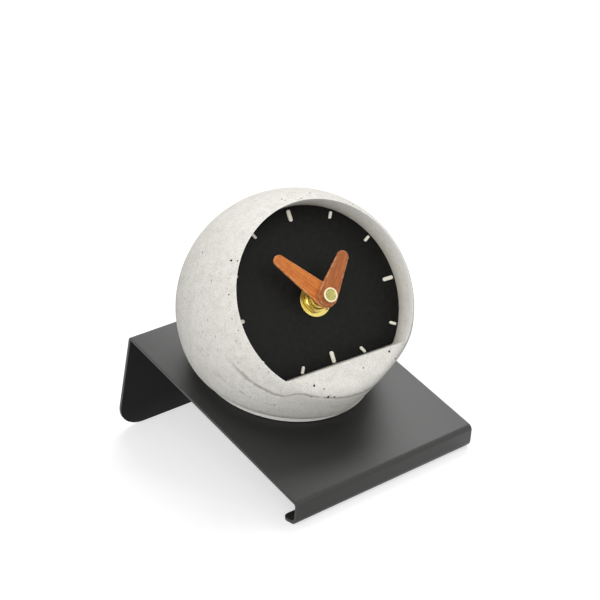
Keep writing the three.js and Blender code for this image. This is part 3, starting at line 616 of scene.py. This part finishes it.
def wellTool():
    low, high = wellCorners()
    letGo()
    bpy.ops.mesh.primitive_cube_add(size=1)
    well = begin("wellTool")
    well.scale = high - low
    well.location = (low + high) / 2
    pick(well)
    bpy.ops.object.transform_apply()
    edit(well)
    roundOff(well, lambda e: abs(e.verts[0].co.z - e.verts[1].co.z) > 5, ballSizes["wellCorner"], 6)
    letGo()
    return well


# Which edges count as the pocket's rim: an arc about the dial's axis and the straight flat
rimZone = {"angle": 18, "above": 29.0, "chord": -27.6, "inside": 40.2, "near": 0.35, "flatBelow": -25.5}


def onRim(edge):
    if not sharp(edge, rimZone["angle"]):
        return False
    spots = [Matrix.Rotation(-flatTurn, 3, "Z") @ v.co for v in edge.verts]
    reaches = [math.hypot(p.x, p.y) for p in spots]
    inPocket = all(p.z > rimZone["above"] and p.y > rimZone["chord"] for p in spots)
    onArc = all(abs(r - ballSizes["pocket"]) < rimZone["near"] for r in reaches)
    onFlat = all(p.y < rimZone["flatBelow"] for p in spots)
    return inPocket and max(reaches) < rimZone["inside"] and (onArc or onFlat)


# Pinholes that show in the photograph: clock bearing in degrees, distance from the dial's axis, width
pinholes = [
    (-55, 42.6, 1.1), (-55, 40.9, 0.7), (12, 43.4, 0.9), (-6, 43.2, 0.8), (3, 41.0, 0.6), (97, 41.9, 1.0),
    (100, 40.9, 0.6), (-74, 42.2, 0.7), (-87, 42.3, 0.6), (-94, 41.7, 0.6), (-151, 37.4, 1.0),
    (-162, 40.8, 1.3), (-166, 40.8, 0.8), (146, 34.9, 1.0), (146, 39.5, 1.0), (170, 32.5, 0.7),
    (-50, 49.2, 0.8), (37, 41.6, 0.7), (-158, 38.0, 0.7),
]
# The rest are scattered, most of them at the back, and none in front nearer the axis than "clear"
scattered = {
    "seed": 7, "count": 72, "farthest": 49.7, "clear": 41, "sides": (1, -1, -1),
    "widths": (0.5, 0.5, 0.6, 0.7, 0.9), "narrowest": 0.7, "sunk": 0.1,
}


# How high the ball's front stands at a distance from the dial's axis
def frontLevel(r):
    lipLevel, lipReach = lipCentre()
    if r < lipReach:
        return levels["face"]
    if r < ballSizes["radius"] * math.cos(math.atan2(lipLevel, lipReach)):
        return lipLevel + math.sqrt(ballSizes["lip"] ** 2 - (r - lipReach) ** 2)
    return math.sqrt(ballSizes["radius"] ** 2 - r ** 2)


def pinholeSpots(seeded):
    spots = [(math.radians(b), r, frontLevel(r), width) for b, r, width in pinholes]
    while len(spots) < scattered["count"]:
        bearing = seeded.uniform(0, 2 * math.pi)
        r = seeded.uniform(0.5, 1) ** 0.5 * scattered["farthest"]
        side = seeded.choice(scattered["sides"])
        if side > 0 and r < scattered["clear"]:
            continue
        h = side * math.sqrt(ballSizes["radius"] ** 2 - r * r)
        spots.append((bearing, r, h, seeded.choice(scattered["widths"])))
    return spots


# All the pinholes as one tool, in the shade that they leave in the ball
def pinholeTool():
    seeded = random.Random(scattered["seed"])
    spots = pinholeSpots(seeded)
    letGo()
    bpy.ops.mesh.primitive_ico_sphere_add(subdivisions=3, radius=0.5)
    bubble = begin("bubbles")
    bubble.data.materials.append(finishes["pit"])
    copies = []
    for bearing, r, h, width in spots:
        at = Vector((r * math.sin(bearing), r * math.cos(bearing), h))
        outwards = at.normalized() if abs(h - levels["face"]) > 0.01 else Vector((0, 0, 1))
        one = bubble.copy()
        one.data = bubble.data.copy()
        scene.collection.objects.link(one)
        stretch = Matrix.Diagonal((1.0, seeded.uniform(scattered["narrowest"], 1.0), 1.0, 1.0))
        turn = outwards.to_track_quat("Z", "X").to_matrix().to_4x4()
        sunk = Matrix.Translation(at - outwards * width * scattered["sunk"])
        one.matrix_world = sunk @ turn @ stretch @ Matrix.Scale(width, 4)
        copies.append(one)
    bpy.data.objects.remove(bubble)
    pick(copies[0])
    for one in copies:
        one.select_set(True)
    bpy.ops.object.join()
    bpy.ops.object.transform_apply()
    return bpy.context.object


def makeBall():
    size = ballSizes
    ball = turnBall()
    cutBy(ball, dBlock("pocket", size["pocket"], size["chord"], levels["floor"], 36))

    # the base and the way in from below are square to the stand's plate
    fromBase = onDial.inverted() @ onBase
    base = baseTool()
    base.matrix_world = fromBase
    cutBy(ball, base)
    top = size["base"] + size["openingDepth"]
    opening = cylinder("openingTool", size["opening"], top - 2 * size["openingDepth"], top)
    opening.matrix_world = fromBase
    cutBy(ball, opening)
    cutBy(ball, wellTool())

    # the rim between the pocket's wall and the lip is slightly rounded
    tidy(ball, 0.02)
    edit(ball)
    roundOff(ball, onRim, size["rim"], 4)
    letGo()

    # pinholes left by air bubbles
    holes = pinholeTool()
    ball.data.materials.clear()
    ball.data.materials.append(finishes["concrete"])
    cutBy(ball, holes, material_mode="TRANSFER")
    place(ball, onDial, "clock_body", "concrete_body", angle=32)


makeBall()
print("ball made")

# Stand: one strip folded three times, then given its thickness
standSizes = {
    "width": (standHigh.x - standLow.x) * 1000, "left": standLow.x * 1000, "thickness": 1.5,
    "plate": 119.5, "lip": 9, "flange": 10.5, "flangeLean": 12.7, "legLean": 23.3,
    "frontBend": 0.9, "rearBend": 0.4, "legCorner": 14, "lipCorner": 3, "edge": 0.16,
}


def makeStand():
    size = standSizes
    near = 0.05  # how close a vertex lies to a line that it is on
    lean, leg = math.radians(size["flangeLean"]), math.radians(size["legLean"])
    flange = Vector((0, -math.sin(lean), math.cos(lean))) * size["flange"]
    plate = Vector((0, math.cos(plateSlope), math.sin(plateSlope))) * size["plate"]
    foot = Vector((0, -flange.y, 0))
    rear = flange + plate
    legLength = (rear.z - size["thickness"] * math.sin(leg)) / math.cos(leg)
    down = Vector((0, math.sin(leg), -math.cos(leg))) * legLength
    letGo()
    bpy.ops.mesh.primitive_plane_add(size=1)
    stand = begin("foldedStand")
    edit(stand)
    bpy.ops.mesh.select_all(action="SELECT")
    bpy.ops.transform.resize(value=(size["width"], size["lip"], 1))
    bpy.ops.transform.translate(value=(size["left"] + size["width"] / 2, foot.y + size["lip"] / 2, 0))

    # the front edge is drawn up the flange, along the plate and down the leg
    choose(stand, "EDGE", lambda e: all(v.co.y < foot.y + near for v in e.verts))
    for step in (flange, plate, down):
        bpy.ops.mesh.extrude_edges_move(TRANSFORM_OT_translate={"value": tuple(step)})
    folds = [(foot, size["frontBend"], math.pi / 2 + lean),
             (foot + flange, size["frontBend"], math.pi / 2 - plateSlope + lean),
             (foot + rear, size["rearBend"], math.pi / 2 + plateSlope - leg)]
    for corner, inner, bend in folds:
        reach = (inner + size["thickness"]) * math.tan(bend / 2)
        roundOff(stand, lambda e: all((v.co.yz - corner.yz).length < near for v in e.verts), reach, 8)

    # rounded corners at both ends of the strip
    legEnd = (foot + rear + down).y
    choose(stand, "VERT", lambda v: abs(v.co.y - legEnd) < near and v.co.z < size["thickness"])
    bpy.ops.mesh.bevel(offset=size["legCorner"], segments=14, affect="VERTICES")
    choose(stand, "VERT", lambda v: abs(v.co.y - foot.y - size["lip"]) < near and v.co.z < near)
    bpy.ops.mesh.bevel(offset=size["lipCorner"], segments=8, affect="VERTICES")
    tidy(stand)

    # the sheet lies below the strip that was drawn
    facesUp = max(stand.data.polygons, key=lambda face: face.area).normal.z > 0
    applied(stand, "SOLIDIFY", thickness=size["thickness"], offset=-1 if facesUp else 1,
            use_even_offset=True, use_quality_normals=True)
    tidy(stand)
    applied(stand, "BEVEL", width=size["edge"], segments=2, limit_method="ANGLE",
            angle_limit=math.radians(50), use_clamp_overlap=False)
    stand.location.y = -min(v.co.y for v in stand.data.vertices)
    place(stand, onStand, "clock_body", "stand", finishes["coat"], 40)

    # faces that look down, apart from the lip on the table, get the painted-shade copy of the coat
    refinish(stand, finishes["coatPaintedShade"], lambda face: face.normal.z < -0.3 and face.center.z > 0.004)


makeStand()
print("stand made")

# Base cover: a thin disc with a spigot in the ball's base opening
coverSizes = {
    "radius": 37.7, "low": -31.3, "thickness": 2.5, "round": 0.6,
    "spigot": 5, "wall": 2, "reach": 24.7, "spigotRound": 0.3,
}


def makeCover():
    size = coverSizes
    top = size["low"] + size["thickness"]
    cover = cylinder("baseCover", size["radius"], size["low"], top, 160)
    edit(cover)
    inner = size["radius"] - 0.1
    roundOff(cover, lambda e: sharp(e) and midPoint(e).xy.length > inner, size["round"], 4)
    choose(cover, "FACE", lambda f: f.normal.z > 0.99 and len(f.verts) > 100)
    bpy.ops.mesh.inset(thickness=size["radius"] - size["round"] - size["reach"])
    raiseFaces(size["spigot"])
    bpy.ops.mesh.inset(thickness=size["wall"])
    raiseFaces(-size["spigot"])
    roundOff(cover, sharpAbove(top + 1), size["spigotRound"], 2)
    tidy(cover)
    place(cover, onBase, "clock_body", "base_cover", finishes["cover"])


makeCover()

# Dial and hour marks
dialSizes = {"gap": 0.3, "edge": 0.25, "bore": 4.1}


def makeDial():
    gap = dialSizes["gap"]
    dial = dBlock("dialPlate", ballSizes["pocket"] - gap, ballSizes["chord"] + gap,
                  levels["dialBack"], levels["dial"])
    edit(dial)
    roundOff(dial, sharpAbove(levels["dial"] - 0.01), dialSizes["edge"], 2)
    letGo()
    drill(dial, dialSizes["bore"], levels["dialBack"], levels["dial"])
    place(dial, onDial, "clock_body", "dial", finishes["dial"])


markSizes = {
    "rim": 38.6, "chordEdge": 26.9, "low": 18.6, "height": 0.7, "round": 0.22,
    "long": (5.0, 1.65), "short": (3.2, 1.2),
}


def makeBaton(name, length, width):
    letGo()
    bpy.ops.mesh.primitive_circle_add(vertices=32, radius=width / 2, fill_type="NGON")
    baton = begin(name)
    edit(baton)
    choose(baton, "VERT", lambda v: v.co.x > 0.001)
    bpy.ops.transform.translate(value=(length - width, 0, 0))
    bpy.ops.mesh.select_all(action="SELECT")
    raiseFaces(markSizes["height"])
    roundOff(baton, sharpAbove(markSizes["height"] - 0.01), markSizes["round"], 3)
    tidy(baton)
    return baton


def makeMarks():
    size = markSizes
    patterns = {kind: makeBaton(kind + "Baton", *size[kind]) for kind in ("long", "short")}
    for hour in range(1, 13):
        kind = "short" if hour % 3 else "long"
        length, width = size[kind]
        angle = math.pi / 2 - hour * math.pi / 6
        down = -math.sin(angle - flatTurn)
        outer = min(size["rim"], size["chordEdge"] / down) if down > 0.01 else size["rim"]
        mark = patterns[kind].copy()
        mark.data = patterns[kind].data.copy()
        mark.name = "hourMark%02d" % hour
        scene.collection.objects.link(mark)
        mark.matrix_world = Matrix.Rotation(angle, 4, "Z") @ Matrix.Translation(
            (outer - length + width / 2, 0, size["low"]))
        place(mark, onDial, "clock_body", "hour_mark_%02d" % hour, finishes["cream"])
    for pattern in patterns.values():
        bpy.data.objects.remove(pattern)


makeDial()
makeMarks()
print("dial and marks made")

# Hands: a round hub drawn out to a smaller round tip
handSizes = {
    "long": {"length": 26.9, "hub": 4.75, "tip": 2.4, "low": 27.3, "bore": 2.65},
    "short": {"length": 20.7, "hub": 4.4, "tip": 2.6, "low": 29.15, "bore": 1.65},
    # the last two give where the painted edge highlight begins inside the outline and over how much it
    # fades in
    "thickness": 1.3, "round": 0.28, "border": 0.5, "edgeGlintFrom": 0.55, "edgeGlintOver": 0.35,
}


def makeHand(kind, body, node, finish):
    size = handSizes[kind]
    thick = handSizes["thickness"]
    reach = size["length"] - size["tip"]
    lean = math.asin((size["hub"] - size["tip"]) / reach)
    letGo()
    bpy.ops.mesh.primitive_circle_add(vertices=144, radius=size["hub"], fill_type="NGON")
    hand = begin(kind + "Hand")
    edit(hand)
    choose(hand, "VERT", lambda v: v.co.y > size["hub"] * math.sin(lean))
    shrink = size["tip"] / size["hub"]
    bpy.ops.transform.resize(value=(shrink, shrink, 1), center_override=(0, 0, 0))
    bpy.ops.transform.translate(value=(0, reach, 0))
    bpy.ops.mesh.select_all(action="SELECT")
    bpy.ops.mesh.inset(thickness=handSizes["border"])
    bpy.ops.mesh.select_all(action="SELECT")
    raiseFaces(thick)
    roundOff(hand, sharp, handSizes["round"], 3)
    tidy(hand)
    drill(hand, size["bore"], 0, thick)

    # the painted edge highlight: how near each point is to the outline
    edgeGlint = hand.data.attributes.new("edge", "FLOAT", "POINT")
    for point, value in zip(hand.data.vertices, edgeGlint.data):
        along = min(max(point.co.y / reach, 0), 1)
        width = size["hub"] + (size["tip"] - size["hub"]) * along
        away = math.hypot(point.co.x, point.co.y - along * reach)
        value.value = min(max((away - width + handSizes["edgeGlintFrom"]) / handSizes["edgeGlintOver"], 0), 1)
    hand.matrix_world = Matrix.Translation((0, 0, size["low"])) @ Matrix.Rotation(
        -math.radians(handBearing[kind]), 4, "Z")
    place(hand, onDial, body, node, finish)


makeHand("long", "hour_hand_set", "long_hand", finishes["longWood"])
makeHand("short", "minute_hand_set", "short_hand", finishes["shortWood"])
print("hands made")

# Brass hardware on the dial
brassSizes = {
    "washer": {"inner": 4.1, "outer": 7, "low": 18.6, "thickness": 0.6, "edge": 0.12},
    "nut": {"flats": 10.4, "low": 19.5, "thickness": 2.5, "bore": 4.1,
            "past": 0.25, "chamfer": 1.05, "boreRound": 0.3, "edge": 0.1},
    "bush": {"outer": 3.95, "bore": 2.65, "pitch": 0.75, "depth": 0.22, "low": 13.0, "high": 23.6,
             "rows": 6, "fadeEnd": 0.3, "fade": 0.5, "topRound": 0.25},
    "cap": {"radius": 3.05, "low": 30.6, "thickness": 2.3, "edge": 0.16,
            "dish": 2.3, "dishDepth": 0.4, "dishTaper": 0.92},
}


def makeWasher():
    size = brassSizes["washer"]
    low, high = size["low"], size["low"] + size["thickness"]
    washer = cylinder("brassWasher", size["outer"], low, high)
    drill(washer, size["inner"], low, high, 96)
    edit(washer)
    roundOff(washer, sharp, size["edge"], 2)
    tidy(washer)
    place(washer, onDial, "clock_body", "brass_washer", finishes["brass"])


def makeNut():
    size = brassSizes["nut"]
    low, high = size["low"], size["low"] + size["thickness"]
    corners = size["flats"] / math.sqrt(3)
    nut = cylinder("hexNut", corners, low, high, 6, math.pi / 6)
    # the corners are turned off by a cone on both faces
    cone = cylinder("coneTool", corners + size["past"], low, high)
    edit(cone)
    roundOff(cone, sharp, size["chamfer"], 1)
    letGo()
    cutBy(nut, cone, "INTERSECT")
    drill(nut, size["bore"], low, high, 96)
    edit(nut)
    outside = size["bore"] + 0.1
    roundOff(nut, lambda e: sharp(e) and midPoint(e).xy.length < outside, size["boreRound"], 2)
    tidy(nut)
    applied(nut, "BEVEL", width=size["edge"], segments=2, limit_method="ANGLE",
            angle_limit=math.radians(20), use_clamp_overlap=True)
    place(nut, onDial, "clock_body", "hex_nut", finishes["brass"], 25)


def makeBush():
    size = brassSizes["bush"]
    low, high = size["low"], size["high"]
    rows = int((high - low) / size["pitch"] * size["rows"])
    letGo()
    bpy.ops.mesh.primitive_circle_add(vertices=64, radius=size["outer"], fill_type="NOTHING",
                                      location=(0, 0, low))
    bush = begin("threadedBush")
    pick(bush)
    bpy.ops.object.transform_apply()
    edit(bush)
    bpy.ops.mesh.select_all(action="SELECT")
    step = (high - low) / rows
    for _ in range(rows):
        bpy.ops.mesh.extrude_edges_move(TRANSFORM_OT_translate={"value": (0, 0, step)})
    letGo()

    # the thread winds up the neck and fades out at the top
    for point in bush.data.vertices:
        turn = math.atan2(point.co.y, point.co.x) / (2 * math.pi)
        groove = abs(((point.co.z - low) / size["pitch"] - turn) % 1 * 2 - 1)
        fade = min(1, max(0, (high - point.co.z - size["fadeEnd"]) / size["fade"]))
        topRound = size["topRound"] if point.co.z > high - 0.01 else 0
        point.co.xy = point.co.xy.normalized() * (size["outer"] - size["depth"] * groove * fade - topRound)
    edit(bush)
    choose(bush, "EDGE", lambda e: e.is_boundary)
    bpy.ops.mesh.edge_face_add()
    tidy(bush)
    edit(bush)
    choose(bush, "EDGE", lambda e: e.is_boundary)
    bpy.ops.mesh.fill_holes(sides=0)
    tidy(bush)
    drill(bush, size["bore"], low, high)
    place(bush, onDial, "clock_body", "threaded_bush", finishes["brass"], 50)


def makeCap():
    size = brassSizes["cap"]
    top = size["low"] + size["thickness"]
    cap = cylinder("capNut", size["radius"], size["low"], top)
    edit(cap)
    choose(cap, "FACE", lambda f: f.normal.z > 0.9)
    bpy.ops.mesh.inset(thickness=size["radius"] - size["dish"])
    raiseFaces(-size["dishDepth"])
    taper = size["dishTaper"]
    bpy.ops.transform.resize(value=(taper, taper, 1), center_override=(0, 0, top))
    roundOff(cap, lambda e: sharp(e, 40), size["edge"], 3)
    tidy(cap)
    place(cap, onDial, "minute_hand_set", "cap_nut", finishes["capBrass"])

    # the dish is darker brass
    def inDish(face):
        local = onDial.inverted() @ face.center
        return math.hypot(local.x, local.y) < size["dish"] + 0.05 and local.z > size["low"] + 1

    refinish(cap, finishes["dish"], inDish)


makeWasher()
makeNut()
makeBush()
makeCap()
print("brass made")

# Finishes of the CAD nodes that stay
carried = {
    "rubber_washer": "rubber", "movement_case": "case", "gear_plate": "case", "case_lid": "case",
    "setting_knob": "case", "hour_wheel": "brass", "minute_arbor": "brass", "motion_wheel": "acetal",
    "centre_wheel": "acetal", "seconds_wheel": "acetal", "third_wheel": "acetal",
    "step_wheel": "acetal", "rotor": "ferrite", "stator": "steel", "coil": "copper",
    "battery": "battery", "contact_plus": "steel", "contact_minus": "steel", "circuit_board": "board",
    "quartz_crystal": "steel", "driver_chip": "case",
}
for node, finish in carried.items():
    for slot in frame["nodes"][node].material_slots:
        slot.material = finishes[finish]

# Floor and surroundings: white to the camera and to gloss, plain on the object
studio = {"world": 0.33, "floorSeen": 0.62, "floorGlow": 0.55, "floorBounce": 0.25}
lamps = {
    "key": {"strength": 1.45, "angle": 48, "from": (0.55, 0.34, 0.76)},
    "fill": {"strength": 2.2, "angle": 70, "from": (-0.75, -0.62, 0.36)},
    "front": {"strength": 0.5, "angle": 90, "from": (0.45, -0.8, 0.45)},
}


# One for rays that show the background: from the camera, off a gloss or through a clear piece
def shownRays(start):
    path = start.tree.nodes.new("ShaderNodeLightPath")
    names = ("Is Camera Ray", "Is Glossy Ray", "Is Transmission Ray")
    seen, gloss, clear = [Wire(start.tree, path.outputs[name]) for name in names]
    return seen.orMore(gloss.orMore(clear))


letGo()
bpy.ops.mesh.primitive_plane_add(size=8, location=(0, 0, -0.00005))
floor = begin("floor")
floorFinish, floorShader, floorWire, _ = newFinish(
    "paleFloor", Roughness=0.9, Specular_IOR_Level=0.0, Emission_Strength=1.0)
shown = shownRays(floorWire)
feed(floorShader, Base_Color=shown.blend(grey(studio["floorBounce"]), grey(studio["floorSeen"])),
     Emission_Color=shown.blend(grey(0), grey(studio["floorGlow"])))
floor.data.materials.append(floorFinish)

world = bpy.data.worlds.new("studio")
scene.world = world
world.use_nodes = True
background = world.node_tree.nodes["Background"]
background.inputs["Color"].default_value = grey(1)
strength = shownRays(Wire(world.node_tree)) * (1 - studio["world"]) + studio["world"]
world.node_tree.links.new(background.inputs["Strength"], strength.socket)

for name, lamp in lamps.items():
    sun = bpy.data.lights.new(name, "SUN")
    sun.energy = lamp["strength"]
    sun.angle = math.radians(lamp["angle"])
    hung = bpy.data.objects.new(name, sun)
    hung.rotation_euler = Vector(lamp["from"]).to_track_quat("Z", "Y").to_euler()
    scene.collection.objects.link(hung)

# Camera at the photograph's place, in metres and degrees
cameraPlace = {
    "at": (-0.3767, -0.5227, 0.3058), "turn": (69.330, 4.836, -38.425), "lens": 97.13,
    "sensor": 36, "nearest": 0.01,
}
lensData = bpy.data.cameras.new("camera")
lensData.lens = cameraPlace["lens"]
lensData.sensor_width = cameraPlace["sensor"]
lensData.clip_start = cameraPlace["nearest"]
camera = bpy.data.objects.new("camera", lensData)
camera.location = cameraPlace["at"]
camera.rotation_euler = Euler([math.radians(a) for a in cameraPlace["turn"]])
scene.collection.objects.link(camera)
scene.camera = camera
print("camera set")
